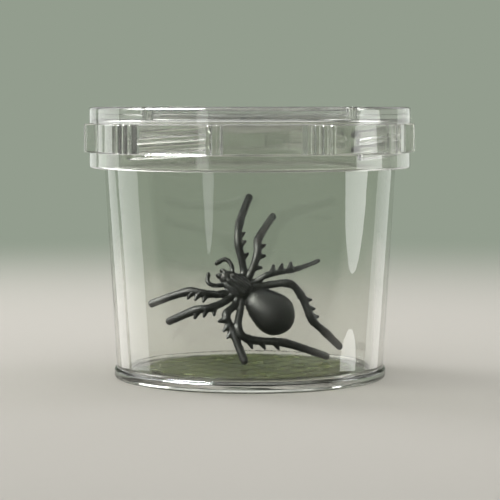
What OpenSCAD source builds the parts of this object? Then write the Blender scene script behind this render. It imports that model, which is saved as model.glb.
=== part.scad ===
// Clear bug catcher jar with a screw lid, a magnifying lens in the lid, a measuring grid on its
// floor and a loose rubber spider to look at. Millimetres, +Z up, origin under the middle of the
// foot, seen from the front along +Y.

/* [Jar] */
// Height of the closed jar, from what it stands on to the rim of the lid
closed_h = 56; // [50:1:80]
// Outer radius of the neck, which the lid goes over
neck_r = 29.7; // [28.8:0.1:30]
// Outer radius of the wall just above the foot
base_r = 27.8; // [26.8:0.1:29.5]
// Thickness of the wall
wall_t = 2.5; // [1.8:0.1:3]
// Thickness of the floor
floor_t = 1.8; // [1.2:0.1:3]
// Radius of the inside round between floor and wall
cove_r = 1; // [0.5:0.1:3]
// How far the bead round the foot stands out of the wall
foot_out = 0.5; // [0.2:0.1:0.8]
// Height of the bead round the foot
foot_h = 2; // [1.5:0.1:5]
// Depth of the hollow under the floor
hollow_t = 0.4; // [0.2:0.1:0.6]
// Width of the ring that the jar stands on
stand_w = 4; // [2:0.1:8]
// Width of the bevels that break the edges of jar and lid
edge_w = 0.4; // [0.1:0.05:0.6]

/* [Lid] */
// Height of the lid, from its lower edge to its rim
lid_h = 12.6; // [12:0.1:18]
// Thickness of the skirt at its two flanges
skirt_t = 2.3; // [1.8:0.1:4]
// Height of the upper flange
upper_flange_h = 3.5; // [2.5:0.1:4.5]
// Height of the lower flange
lower_flange_h = 3.3; // [2:0.1:4]
// How far the band between the flanges lies behind them
band_in = 1; // [0.3:0.1:1.2]
// Thickness of the lid's top
top_t = 2; // [1.8:0.1:3]
// Width of the rim that stands up round the top
rim_w = 3; // [1.5:0.1:5]
// How far the rim stands above the top
rim_up = 0.6; // [0.3:0.1:1.5]
// Number of vents through the top
vent_count = 4; // [2:1:8]
// Diameter of a vent
vent_d = 2.2; // [1:0.1:2.6]

/* [Grips] */
// Number of grips round the lid, wide and narrow by turns
grip_count = 10; // [6:2:12]
// Number of ribs on a wide grip
wide_ribs = 4; // [3:1:5]
// Number of ribs on a narrow grip
narrow_ribs = 2; // [1:1:2]
// Distance from rib to rib
rib_pitch = 1.75; // [1.4:0.05:2]
// Radius of a rib's round face
rib_r = 0.65; // [0.4:0.05:0.7]
// How far the ribs stand out of the flanges
grip_out = 1.05; // [0.7:0.05:1.5]
// Turn of the first wide grip about the axis
grip_turn = 6; // [0:1:36]

/* [Thread] */
// Number of thread starts, and of the gaps between their ridges
thread_starts = 4; // [3:1:5]
// Height from one row of ridges to the next
thread_pitch = 3; // [2.8:0.1:3.2]
// Number of rows of ridges
thread_rows = 2; // [1:1:2]
// Angle that one ridge covers
ridge_arc = 34; // [16:1:40]
// How far a ridge stands out of its wall
ridge_out = 1; // [0.8:0.05:1.1]
// Height of a ridge at its foot
ridge_h = 1.4; // [1:0.05:1.5]
// Height of a ridge at its crest
crest_h = 0.7; // [0.4:0.05:0.9]
// Turn of the first row of ridges about the axis
thread_turn = 58; // [0:1:90]

/* [Lens] */
// Width of the ring between the lens's curved face and the inside of the neck
lens_inset_w = 5.6; // [5.2:0.1:9]
// How far the curved face bulges down
lens_bulge = 3.6; // [2:0.1:6]
// Thickness of the lens at the edge of the curved face
lens_edge_t = 1.4; // [1:0.1:1.8]
// Width of the flange that rests in the lid
lens_flange_w = 1.2; // [0.8:0.1:1.3]
// Thickness of that flange
lens_flange_t = 0.9; // [0.6:0.1:1.1]

/* [Measuring grid] */
// Thickness of the grid's disc
grid_t = 0.8; // [0.5:0.1:1.2]
// Depth of the seat in the floor that the disc lies in
grid_seat_t = 0.3; // [0.1:0.05:0.5]
// Width of the bare floor between the seat and the inside round
bare_floor_w = 3.1; // [1:0.1:6]
// Distance from line to line
grid_pitch = 5; // [2:0.5:10]
// Width of a line
grid_line_w = 0.4; // [0.2:0.05:0.8]
// Depth of a line
grid_line_t = 0.15; // [0.05:0.05:0.25]
// Turn of the lines about the axis
grid_turn = 45; // [0:5:90]

/* [Toy spider] */
// Length of the longest legs, along their bends
leg_len = 24; // [18:0.5:25]
// Radius of the legs at the body
leg_r = 0.8; // [0.6:0.05:1.2]
// Radius of the legs at their tips
leg_tip_r = 0.85; // [0.4:0.05:1]
// Number of barbs on a leg
barb_count = 3; // [2:1:4]
// Length of a barb
barb_len = 1.3; // [0.6:0.1:1.6]
// Radius of a barb at its foot
barb_r = 0.95; // [0.4:0.05:1]
// Length of the abdomen
abdomen_len = 12.2; // [9:0.1:13]
// Width of the abdomen
abdomen_w = 9; // [6:0.1:10]
// Length of the front body, which carries the legs
thorax_len = 7.2; // [6:0.1:8]
// Width of the front body
thorax_w = 5.2; // [4:0.1:6]

/* [Fits] */
// Clearance between the ridges of the neck and the skirt, and between those of the skirt and the neck
thread_gap = 0.3; // [0.2:0.05:0.35]
// Clearance between the flanks of the ridges with the lid closed
flank_gap = 0.2; // [0.1:0.05:0.3]
// Clearance of the pieces that seat on each other
seat_gap = 0.1; // [0.05:0.01:0.15]
// Clearance under the spider's lowest foot
foot_gap = 0.3; // [0.1:0.05:0.5]

/* [Hidden] */
$fn = 144;

// How far a cut runs past its face, and a joined piece into the one that carries it
over = 0.3;

// Heights
lid_z = closed_h - lid_h;
top_z = closed_h - rim_up;
under_top_z = top_z - top_t;
rim_z = under_top_z - seat_gap;
band_z = lid_z + lower_flange_h;
band_h = lid_h - lower_flange_h - upper_flange_h;
grid_z = floor_t - grid_seat_t;
grid_top_z = grid_z + grid_t;

// Radii
foot_r = base_r + foot_out;
neck_in_r = neck_r - wall_t;
base_in_r = base_r - wall_t;
skirt_in_r = neck_r + ridge_out + thread_gap;
flange_r = skirt_in_r + skirt_t;
band_r = flange_r - band_in;
grip_r = flange_r + grip_out;

// Inside round: its centre stands off the floor and the slanted wall by its own radius
wall_slant = atan((neck_r - base_r) / (lid_z - foot_h));
cove_x = base_in_r - (foot_h - floor_t) * tan(wall_slant) + cove_r * tan(wall_slant)
    - cove_r / cos(wall_slant);
cove_z = floor_t + cove_r;
grid_seat_r = cove_x - bare_floor_w;
grid_r = grid_seat_r - seat_gap;

// Thread: each ridge of the lid lies under one of the neck
thread_lead = thread_pitch * thread_starts;
ridge_steps = 8;
top_ridge_share = 0.75;
neck_ridge_z = rim_z - thread_pitch * top_ridge_share;
skirt_crest_r = neck_r + thread_gap;
engaged_share = thread_gap / ridge_out;
lid_drop = crest_h + (ridge_h - crest_h) * (1 - engaged_share) + flank_gap;

// Lens: radius of its curved face, of the sphere that this is cut from, and of its flange and its seat
lens_r = neck_in_r - lens_inset_w;
lens_sphere_r = (pow(lens_r, 2) + pow(lens_bulge, 2)) / (2 * lens_bulge);
lens_flange_r = lens_r + lens_flange_w;
lens_seat_r = lens_flange_r + seat_gap;

// Vents: in the middle between the lens's seat and the neck
vent_ring_r = (lens_seat_r + neck_in_r) / 2;

// Spider's pose: it stands on its hind feet against the wall. The heading turns its head to the upper
// left, the body turns a little further than the legs, the lean raises it from lying on its feet, and
// the yaw turns it about the jar's axis. The middle of its front body is so far to the left of that
// axis and behind it, as shares of a leg.
spider_heading = 135;
body_turn = 5;
spider_lean = 70;
spider_yaw = 15;
spider_place_shares = [-0.108, 0.167];

// Spider's legs in order from the front, the right side first and then the left. Each leg goes from
// its hip by the angles of its stretches from the heading, with their lengths and the heights of
// their ends as shares of the longest leg.
leg_sides = [-1, -1, -1, -1, 1, 1, 1, 1];
leg_turns = [
    [35, 57, 74],
    [68, 58, 84],
    [112, 122, 112],
    [134, 180, 201, 168, 158],
    [49, 31, 53],
    [73, 51, 55],
    [91, 154, 152],
    [119, 178, 222, 209]
];
leg_length_shares = [
    [0.25, 0.19, 0.355],
    [0.19, 0.165, 0.35],
    [0.12, 0.265, 0.34],
    [0.245, 0.155, 0.23, 0.19, 0.2],
    [0.185, 0.145, 0.29],
    [0.185, 0.155, 0.19],
    [0.15, 0.15, 0.28],
    [0.19, 0.14, 0.34, 0.42]
];
leg_height_shares = [
    [0.06, 0.02, -0.21],
    [0.06, 0.02, -0.21],
    [0.06, 0, -0.21],
    [0.06, 0.04, 0, -0.105, -0.3],
    [0.06, 0.02, -0.21],
    [0.06, 0.02, -0.21],
    [0.06, 0.04, 0.04],
    [0.06, 0.04, -0.04, -0.125]
];
// Where the first and last barb of each leg stand, as shares of the way along it, and on which side
barb_shares = [
    [0.36, 0.56],
    [0.35, 0.6],
    [0.54, 0.71],
    [0.53, 0.64],
    [0.48, 0.68],
    [0.49, 0.71],
    [0.58, 0.75],
    [0.6, 0.75]
];
barb_sides = [-1, -1, 1, 1, -1, -1, 1, 1];
// Places of the hips along the front body, as shares of its length, and across it, of its width
hip_along_shares = [0.17, -0.05, -0.3, -0.5];
hip_across_share = 0.66;
// Places along, across and up of a palp's stretches, as shares of the front body's length, and its
// thickness as a share of a leg's
palp_shares = [[0.3, 0.18, 0.02], [0.56, 0.42, 0.01], [0.78, 0.44, -0.04], [0.9, 0.22, -0.1]];
palp_thick_share = 0.6;
// Heights of the abdomen and the front body, as shares of their widths
abdomen_height_share = 0.8;
thorax_height_share = 0.7;
// Waist, where the abdomen starts: its place along the front body and its radius to the abdomen's width
waist_share = 0.42;
waist_radius_share = 0.22;
// Abdomen's egg: its place behind the waist and its half length, as shares of the abdomen's length
egg_place_share = 0.5;
egg_half_share = 0.42;
// Head: its place along the front body, and its half sizes as shares of the front body's sizes
head_place_share = 0.42;
head_half_shares = [0.2, 0.3, 0.42];
// Ridges along the back: where they end along, across and up, as shares of the front body's sizes,
// and their radius as a share of its width
back_ridge_shares = [0.3, 0.145, 0.41];
back_ridge_radius_share = 0.09;
// How far a barb's tip rakes towards the leg's tip, and its radius there, as shares of its own sizes
barb_rake_share = 0.55;
barb_tip_share = 0.3;
leg_facets = 8;
leg_rings = 3;
tip_rings = 3;
tip_step = 90 / (tip_rings + 0.5);

// Thread ridge, one section of it: foot and crest, below and above the ridge's middle height
function ridge_section(turn, z, foot_at, crest_at) = [
    for (corner = [[foot_at, -ridge_h], [crest_at, -crest_h], [crest_at, crest_h], [foot_at, ridge_h]])
        [corner[0] * cos(turn), corner[0] * sin(turn), z + corner[1] / 2]
];

// Faces of a tube whose rings have n points each, with flat ends
function tube_faces(rings, n) = concat(
    [for (i = [0 : rings - 2], k = [0 : n - 1]) [i * n + k, i * n + (k + 1) % n, (i + 1) * n + k]],
    [for (i = [0 : rings - 2], k = [0 : n - 1])
        [i * n + (k + 1) % n, (i + 1) * n + (k + 1) % n, (i + 1) * n + k]],
    [[for (k = [n - 1 : -1 : 0]) k]],
    [[for (k = [0 : n - 1]) (rings - 1) * n + k]]
);

// One ridge about its middle turn and height. It climbs with the lead, and its ends run out into
// the wall that carries it.
module ridge(wall_r, crest_r, turn, z) {
    toward = sign(crest_r - wall_r);
    foot_at = wall_r - toward * over;
    low_crest = wall_r + toward * edge_w;
    rings = [
        for (i = [0 : ridge_steps])
            let (swing = ridge_arc * (i / ridge_steps - 0.5))
            ridge_section(
                turn + swing, z + thread_lead * swing / 360, foot_at,
                i == 0 || i == ridge_steps ? low_crest : crest_r)
    ];
    points = [for (ring = rings, corner = ring) corner];
    faces = tube_faces(len(rings), 4);
    polyhedron(points, toward > 0 ? faces : [for (f = faces) [for (k = [len(f) - 1 : -1 : 0]) f[k]]]);
}

// All ridges of one wall, row under row at each of the starts
module ridges(wall_r, crest_r, top_row_z) {
    for (start = [0 : thread_starts - 1], row = [0 : thread_rows - 1])
        ridge(wall_r, crest_r, thread_turn + start * 360 / thread_starts, top_row_z - row * thread_pitch);
}

module jar_body() {
    color("aliceblue", 0.4)
    union() {
        rotate_extrude()
        difference() {
            polygon([
                [0, hollow_t],
                [foot_r - stand_w - hollow_t, hollow_t],
                [foot_r - stand_w, 0],
                [foot_r - edge_w, 0],
                [foot_r, edge_w],
                [foot_r, foot_h - foot_out],
                [base_r, foot_h],
                [neck_r, lid_z],
                [neck_r, rim_z - edge_w],
                [neck_r - edge_w, rim_z],
                [neck_in_r + edge_w, rim_z],
                [neck_in_r - over, rim_z + edge_w + over],
                [0, rim_z + edge_w + over]
            ]);
            polygon([
                [-over, floor_t],
                [cove_x, floor_t],
                [cove_x, cove_z],
                [cove_x + cove_r * cos(wall_slant), cove_z - cove_r * sin(wall_slant)],
                [neck_in_r, lid_z],
                [neck_in_r, rim_z - edge_w],
                [neck_in_r + edge_w, rim_z],
                [neck_in_r + edge_w, rim_z + closed_h],
                [-over, rim_z + closed_h]
            ]);
            translate([cove_x, cove_z]) circle(cove_r);
            translate([-over, grid_z]) square([grid_seat_r + over, grid_seat_t + over]);
        }
        ridges(neck_r, neck_r + ridge_out, neck_ridge_z);
    }
}

// Plan of one grip: a pad with ribs on its face
module grip_plan(ribs) {
    pad_w = (ribs - 1) * rib_pitch + 2 * rib_r;
    translate([skirt_in_r + over, -pad_w / 2])
        square([grip_r - rib_r - skirt_in_r - over, pad_w]);
    for (i = [0 : ribs - 1])
        rotate((i - (ribs - 1) / 2) * rib_pitch / grip_r * 180 / PI)
            translate([grip_r - rib_r, 0]) circle(rib_r);
}

// Shape that all grips share in section, with their upper and lower ends drawn in
module grip_section() {
    polygon([
        [skirt_in_r, band_z - over],
        [flange_r - over, band_z - over],
        [flange_r, band_z],
        [grip_r - edge_w, band_z],
        [grip_r, band_z + edge_w * 2],
        [grip_r, band_z + band_h - edge_w * 2],
        [grip_r - edge_w, band_z + band_h],
        [flange_r, band_z + band_h],
        [flange_r - over, band_z + band_h + over],
        [skirt_in_r, band_z + band_h + over]
    ]);
}

module lid() {
    color("lightcyan", 0.4)
    difference() {
        union() {
            rotate_extrude()
            difference() {
                polygon([
                    [0, under_top_z],
                    [skirt_in_r, under_top_z],
                    [skirt_in_r, lid_z + edge_w],
                    [skirt_in_r + edge_w, lid_z],
                    [flange_r - edge_w, lid_z],
                    [flange_r, lid_z + edge_w],
                    [flange_r, band_z],
                    [band_r, band_z],
                    [band_r, band_z + band_h],
                    [flange_r, band_z + band_h],
                    [flange_r, closed_h - edge_w],
                    [flange_r - edge_w, closed_h],
                    [flange_r - rim_w, closed_h],
                    [flange_r - rim_w - rim_up, top_z],
                    [0, top_z]
                ]);
                translate([-over, under_top_z - over]) square([lens_r + seat_gap + over, top_t + 2 * over]);
                translate([-over, top_z - lens_flange_t - seat_gap])
                    square([lens_seat_r + over, lens_flange_t + seat_gap + over]);
            }
            intersection() {
                rotate_extrude() grip_section();
                translate([0, 0, band_z - over])
                    linear_extrude(band_h + 2 * over)
                    for (i = [0 : grip_count - 1])
                        rotate(grip_turn + i * 360 / grip_count)
                            grip_plan(i % 2 == 0 ? wide_ribs : narrow_ribs);
            }
            ridges(skirt_in_r, skirt_crest_r, neck_ridge_z - lid_drop);
        }
        for (i = [0 : vent_count - 1])
            rotate((i + 0.5) * 360 / vent_count)
                translate([vent_ring_r, 0, under_top_z - over])
                cylinder(d = vent_d, h = top_t + 2 * over);
    }
}

module magnifier_lens() {
    color("azure", 0.5)
    union() {
        translate([0, 0, top_z - lens_flange_t])
            cylinder(r = lens_flange_r, h = lens_flange_t);
        translate([0, 0, top_z - lens_edge_t])
            cylinder(r = lens_r, h = lens_edge_t);
        intersection() {
            translate([0, 0, top_z - lens_edge_t - lens_bulge + lens_sphere_r])
                sphere(lens_sphere_r);
            translate([0, 0, top_z - lens_edge_t - lens_bulge])
                cylinder(r = lens_r, h = lens_bulge + over);
        }
    }
}

module measuring_grid() {
    lines_each_way = floor(grid_r / grid_pitch);
    color("gainsboro")
    difference() {
        translate([0, 0, grid_z]) cylinder(r = grid_r, h = grid_t);
        for (turn = [0, 90], i = [-lines_each_way : lines_each_way])
            rotate(grid_turn + turn)
                translate([i * grid_pitch - grid_line_w / 2, -grid_r - over, grid_top_z - grid_line_t])
                cube([grid_line_w, 2 * (grid_r + over), grid_line_t + over]);
    }
}

// Points of a leg: its root inside the front body, its hip, and the end of each stretch
function leg_reach(i, upto) = upto == 0 ? [0, 0] :
    leg_reach(i, upto - 1) + leg_len * leg_length_shares[i][upto - 1]
    * [cos(leg_turns[i][upto - 1]), sin(leg_turns[i][upto - 1])];

function hip(i) = [thorax_len * hip_along_shares[i % 4], thorax_w * hip_across_share];

function leg_points(i) = [
    [hip(i)[0] / 2, leg_sides[i] * hip(i)[1] / 4, 0],
    [hip(i)[0], leg_sides[i] * hip(i)[1], 0],
    for (k = [1 : len(leg_turns[i])])
        let (reach = hip(i) + leg_reach(i, k))
        [reach[0], leg_sides[i] * reach[1], leg_len * leg_height_shares[i][k - 1]]
];

// A smooth line through the points, with so many steps from each to the next
function between(a, b, c, d, t) = 0.5 * (
    2 * b + (c - a) * t + (2 * a - 5 * b + 4 * c - d) * pow(t, 2) + (3 * b - a - 3 * c + d) * pow(t, 3));

function smooth_line(p, steps) = [
    for (i = [0 : len(p) - 2], s = [0 : steps - 1])
        between(p[max(i - 1, 0)], p[i], p[i + 1], p[min(i + 2, len(p) - 1)], s / steps),
    p[len(p) - 1]
];

function unit(v) = v / norm(v);

// Direction of a line of points at one of them
function along(line, i) = unit(line[min(i + 1, len(line) - 1)] - line[max(i - 1, 0)]);

// A round limb along a line, thinning from one radius to the other, with a rounded tip
module limb(line, from_r, to_r) {
    last = len(line) - 1;
    centres = concat(
        line,
        [for (k = [1 : tip_rings]) line[last] + along(line, last) * to_r * sin(k * tip_step)]);
    radii = concat(
        [for (i = [0 : last]) from_r + (to_r - from_r) * i / last],
        [for (k = [1 : tip_rings]) to_r * cos(k * tip_step)]);
    points = [
        for (i = [0 : len(centres) - 1])
            let (
                ahead = along(line, min(i, last)),
                side = unit(cross(ahead, [0, 0, 1])),
                up = cross(side, ahead))
            for (k = [0 : leg_facets - 1])
                let (turn = k * 360 / leg_facets)
                centres[i] + radii[i] * (cos(turn) * side + sin(turn) * up)
    ];
    polyhedron(points, tube_faces(len(centres), leg_facets));
}

// Barbs along one side of a leg, raked towards its tip
module barbs(i) {
    line = smooth_line(leg_points(i), leg_rings);
    last = len(line) - 1;
    for (k = [0 : barb_count - 1]) {
        share = barb_shares[i][0] + (barb_shares[i][1] - barb_shares[i][0]) * k / (barb_count - 1);
        ring = floor(share * last);
        foot = line[ring] + (line[ring + 1] - line[ring]) * (share * last - ring);
        ahead = along(line, ring);
        outward = unit(cross(ahead, [0, 0, 1])) * leg_sides[i] * barb_sides[i];
        tip = foot + (leg_r + barb_len) * unit(outward + barb_rake_share * ahead);
        hull() {
            translate(foot) sphere(barb_r, $fn = 8);
            translate(tip) sphere(barb_r * barb_tip_share, $fn = 6);
        }
    }
}

// The spider's body lying with its head towards +X: abdomen, front body with its ridges, head and palps
module flat_body() {
    thorax_h = thorax_w * thorax_height_share;
    thorax = [thorax_len, thorax_w, thorax_h];
    waist = -thorax_len * waist_share;
    // Abdomen: an egg that is widest towards its end
    hull() {
        translate([waist - abdomen_len * egg_place_share, 0, 0])
            scale([abdomen_len * egg_half_share, abdomen_w / 2, abdomen_w * abdomen_height_share / 2])
            sphere(1, $fn = 32);
        translate([waist - abdomen_w * waist_radius_share / 2, 0, 0])
            sphere(abdomen_w * waist_radius_share, $fn = 16);
    }
    // Front body, its head, and the two ridges along its back
    scale(thorax / 2) sphere(1, $fn = 28);
    translate([thorax_len * head_place_share, 0, 0])
        scale([for (k = [0 : 2]) thorax[k] * head_half_shares[k]]) sphere(1, $fn = 20);
    for (side = [-1, 1]) {
        hull()
            for (end = [-1, 1])
                translate([
                    for (k = [0 : 2]) thorax[k] * back_ridge_shares[k] * [end, side, 1][k]
                ])
                sphere(thorax_w * back_ridge_radius_share, $fn = 10);
        // Palps, curving round in front of the head
        limb(
            smooth_line([for (p = palp_shares) thorax_len * [p[0], side * p[1], p[2]]], leg_rings),
            leg_r * palp_thick_share, leg_tip_r * palp_thick_share);
    }
}

// The spider lying on its feet
module flat_spider() {
    rotate([0, 0, body_turn]) flat_body();
    for (i = [0 : len(leg_turns) - 1]) {
        limb(smooth_line(leg_points(i), leg_rings), leg_r, leg_tip_r);
        barbs(i);
    }
}

// Height that a point of the lying spider has once the spider leans back
function leaned_z(p) = (p[0] * sin(spider_heading) + p[1] * cos(spider_heading)) * sin(spider_lean)
    + p[2] * cos(spider_lean);

module toy_spider() {
    tips = [for (i = [0 : len(leg_turns) - 1]) leg_points(i)[len(leg_turns[i]) + 1]];
    foot_down = leg_tip_r - min([for (tip = tips) leaned_z(tip)]);
    place = leg_len * spider_place_shares;
    color("dimgray")
    translate([place[0], place[1], grid_top_z + foot_gap + foot_down])
        rotate([0, 0, spider_yaw])
        rotate([spider_lean, 0, 0])
        rotate([0, 0, spider_heading])
        flat_spider();
}

jar_body();
lid();
magnifier_lens();
measuring_grid();
toy_spider();
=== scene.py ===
"""Looks of a clear bug catcher jar: its moulded jar and screw lid, the magnifying lens, the measuring grid
on its floor and the rubber spider inside it. Lengths are in metres, angles in radians, +Z is up."""

import math
from typing import NamedTuple

import bpy
from bpy.props import FloatProperty, IntProperty, PointerProperty, StringProperty
from mathutils import Matrix, Vector


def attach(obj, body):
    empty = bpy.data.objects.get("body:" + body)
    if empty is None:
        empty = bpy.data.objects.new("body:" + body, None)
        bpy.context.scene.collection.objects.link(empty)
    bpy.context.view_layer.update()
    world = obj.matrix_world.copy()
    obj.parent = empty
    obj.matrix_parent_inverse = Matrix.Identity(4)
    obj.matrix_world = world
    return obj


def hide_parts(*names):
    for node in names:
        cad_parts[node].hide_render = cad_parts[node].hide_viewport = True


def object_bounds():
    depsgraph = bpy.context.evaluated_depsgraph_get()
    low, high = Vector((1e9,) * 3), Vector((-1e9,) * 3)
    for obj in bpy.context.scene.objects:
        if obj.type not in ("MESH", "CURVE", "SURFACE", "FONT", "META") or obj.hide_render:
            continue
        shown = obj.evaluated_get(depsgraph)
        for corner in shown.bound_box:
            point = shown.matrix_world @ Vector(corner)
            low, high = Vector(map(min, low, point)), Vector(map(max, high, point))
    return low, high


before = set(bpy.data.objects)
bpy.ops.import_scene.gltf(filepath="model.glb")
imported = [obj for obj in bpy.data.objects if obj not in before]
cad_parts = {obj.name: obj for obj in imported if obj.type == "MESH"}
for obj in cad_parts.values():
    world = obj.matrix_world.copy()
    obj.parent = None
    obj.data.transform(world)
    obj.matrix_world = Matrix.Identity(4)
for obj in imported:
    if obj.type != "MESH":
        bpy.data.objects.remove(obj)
CAD_BOX = [list(corner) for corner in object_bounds()]

bl_info = {
    "name": "Bug Catcher Jar",
    "version": (1, 0, 0),
    "blender": (4, 5, 0),
    "location": "View3D > Sidebar > Bug Jar",
    "description": "Clear screw-lid jar with a magnifying lens, a measuring grid and a rubber spider",
    "category": "Add Mesh",
}

MM = 0.001
TURN = 2 * math.pi
SAME_SPOT = 1e-4 * MM  # points closer than this are one point
# The body that the piece of each CAD node rides on
BODY_OF = {
    "jar_body": "jar",
    "measuring_grid": "jar",
    "magnifier_lens": "lens",
    "lid": "lid",
    "toy_spider": "spider",
}


# Sizes


def length(name, description, mm):
    """A length that a user may change, given in millimetres and kept in metres."""
    return FloatProperty(
        name=name, description=description, default=mm * MM, min=0, subtype="DISTANCE", unit="LENGTH"
    )


def angle(name, description, degrees):
    """An angle that a user may change, given in degrees and kept in radians."""
    return FloatProperty(
        name=name, description=description, default=math.radians(degrees), subtype="ANGLE", unit="ROTATION"
    )


def count(name, description, number):
    """A number of like parts that a user may change."""
    return IntProperty(name=name, description=description, default=number, min=1)


def colour(name, description, value):
    """A colour that a user may change, given as an sRGB hex value."""
    return StringProperty(name=name, description=description, default=value)


class JarSizes(bpy.types.PropertyGroup):
    """Sizes of the moulded jar."""

    neck_r: length("Neck radius", "Outer radius of the neck", 29.7)
    base_r: length("Base radius", "Outer radius of the wall above the foot", 27.8)
    wall: length("Wall", "Thickness of the wall", 2.5)
    floor: length("Floor", "Thickness of the floor", 1.8)
    cove: length("Cove", "Inside round between floor and wall", 1)
    foot_out: length("Foot bead", "How far the foot stands out", 0.5)
    foot_h: length("Foot height", "Height of the bead round the foot", 2)
    hollow: length("Hollow", "Depth of the hollow under the floor", 0.4)
    stand_w: length("Stand", "Width of the ring that the jar stands on", 4)
    edge: length("Edge", "Radius of the moulded edges", 0.45)
    rim_edge: length("Rim edge", "Radius of the rim's edges", 0.72)
    rim_z: length("Rim height", "Height of the neck's rim", 53.3)
    neck_z: length("Neck height", "Height at which the neck starts", 43.4)
    shoulder: length("Shoulder", "How far the wall stands out below the neck", 0.5)
    seat_r: length("Disc seat", "Radius of the seat in the floor that the disc lies in", 21.24)
    seat_t: length("Disc seat depth", "Depth of that seat", 0.3)


class LidSizes(bpy.types.PropertyGroup):
    """Sizes of the moulded lid."""

    height: length("Height", "Height of the lid", 12.6)
    flange_r: length("Flange radius", "Outer radius of the two flanges", 33.3)
    upper_h: length("Upper flange", "Height of the upper flange", 3.5)
    lower_h: length("Lower flange", "Height of the lower flange", 3.3)
    band_in: length("Band", "How far the band lies behind the flanges", 1)
    top: length("Top", "Thickness of the top", 2)
    rim_w: length("Rim width", "Width of the raised rim", 3)
    rim_up: length("Rim", "How far the rim stands above the top", 0.6)
    edge: length("Edge", "Radius of the moulded edges", 0.45)
    skirt_r: length("Skirt", "Inner radius of the skirt", 31)
    vent_d: length("Vent", "Diameter of a vent", 2.2)
    vent_ring_r: length("Vent ring", "Distance from the axis to a vent", 25.05)
    vents: count("Vents", "Number of vents", 4)
    grips: count("Grips", "Number of grips, wide and narrow by turns", 10)
    wide_ribs: count("Wide grip", "Number of ribs on a wide grip", 4)
    narrow_ribs: count("Narrow grip", "Number of ribs on a narrow grip", 2)
    rib_pitch: length("Rib pitch", "Distance from rib to rib", 1.75)
    rib_r: length("Rib radius", "Radius of a rib's round face", 0.65)
    grip_out: length("Grip", "How far the ribs stand out of the flanges", 1.05)
    grip_root: length("Grip root", "How far outside the skirt's inner face a grip starts", 0.4)
    grip_edge: length("Grip edge", "Bevel at the two ends of a grip", 0.3)
    grip_turn: angle("Grip turn", "Turn of the first wide grip", 6)


class ThreadSizes(bpy.types.PropertyGroup):
    """Sizes of the four-start thread, which is made of separate ridges."""

    starts: count("Starts", "Number of thread starts", 4)
    rows: count("Rows", "Number of rows of ridges", 2)
    pitch: length("Pitch", "Height from one row to the next", 3)
    arc: angle("Arc", "Angle that a ridge covers", 34)
    turn: angle("Turn", "Turn of the first ridge", 58)
    out: length("Ridge", "How far a ridge stands out", 1)
    root: length("Ridge root", "How far a ridge reaches into its wall", 0.35)
    foot_h: length("Ridge foot", "Height of a ridge at its foot", 1.4)
    crest_h: length("Ridge crest", "Height of a ridge at its crest", 0.7)
    edge: length("Ridge edge", "Bevel along a ridge's crest", 0.16)
    neck_z: length("Neck ridges", "Height of the neck's upper row", 51.05)
    lid_drop: length("Lid drop", "How far the lid's ridges lie under the neck's", 1.39)


class LensSizes(bpy.types.PropertyGroup):
    """Sizes of the magnifying lens."""

    face_r: length("Face radius", "Radius of the curved face", 21.6)
    bulge: length("Bulge", "How far the curved face bulges down", 3.6)
    edge: length("Edge", "Thickness at the edge of the curved face", 1.4)
    flange_w: length("Flange width", "Width of the flange that rests in the lid", 1.2)
    flange_t: length("Flange", "Thickness of the flange", 0.9)
    flange_edge: length("Flange edge", "Radius of the flange's edges", 0.15)
    step_edge: length("Step edge", "Radius where the flange meets the curved part", 0.1)
    gap: length("Gap", "Clearance in the lid", 0.1)


class GridSizes(bpy.types.PropertyGroup):
    """Sizes of the measuring grid."""

    radius: length("Radius", "Radius of the disc", 21.14)
    thickness: length("Thickness", "Thickness of the disc", 0.8)
    upper_edge: length("Upper edge", "Radius of the disc's upper edge", 0.12)
    lower_edge: length("Lower edge", "Radius of the disc's lower edge", 0.08)
    pitch: length("Pitch", "Distance from line to line", 5)
    line_w: length("Line", "Width of a line", 0.4)
    line_t: length("Depth", "Depth of a line", 0.15)
    air: length("Air", "Air under the disc, which lies on the floor without sticking to it", 0.03)


class SpiderSizes(bpy.types.PropertyGroup):
    """Sizes of the rubber spider."""

    leg: length("Leg", "Length of the longest legs", 24)
    leg_r: length("Leg radius", "Radius of a leg at the body", 0.8)
    tip_r: length("Tip radius", "Radius of a leg at its tip", 0.85)
    barb: length("Barb", "Length of a barb", 1.3)
    barb_r: length("Barb radius", "Radius of a barb at its foot", 0.95)
    abdomen: length("Abdomen", "Length of the abdomen", 12.2)
    abdomen_w: length("Abdomen width", "Width of the abdomen", 9)
    thorax: length("Front body", "Length of the front body", 7.2)
    thorax_w: length("Front width", "Width of the front body", 5.2)
    voxel: length("Detail", "Fineness of the moulded surface", 0.14)
    foot_z: length("Foot height", "Height of the lowest foot's underside", 2.6)


class StudioSizes(bpy.types.PropertyGroup):
    """Floor, camera and even light of the studio, as seen from the front along +Y."""

    camera_distance: length("Distance", "Distance of the camera from the jar's axis", 416)
    camera_height: length("Height", "Height of the camera", 56)
    aim_z: length("Aim", "Height that the camera looks at", 26.2)
    lens_mm: FloatProperty(
        name="Focal length", description="Focal length of the camera in millimetres", default=144, min=1
    )
    floor_r: length("Floor", "Radius of the studio floor", 6000)
    light: FloatProperty(
        name="Even light", description="Strength of the light from all round", default=0.35, min=0
    )


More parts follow.
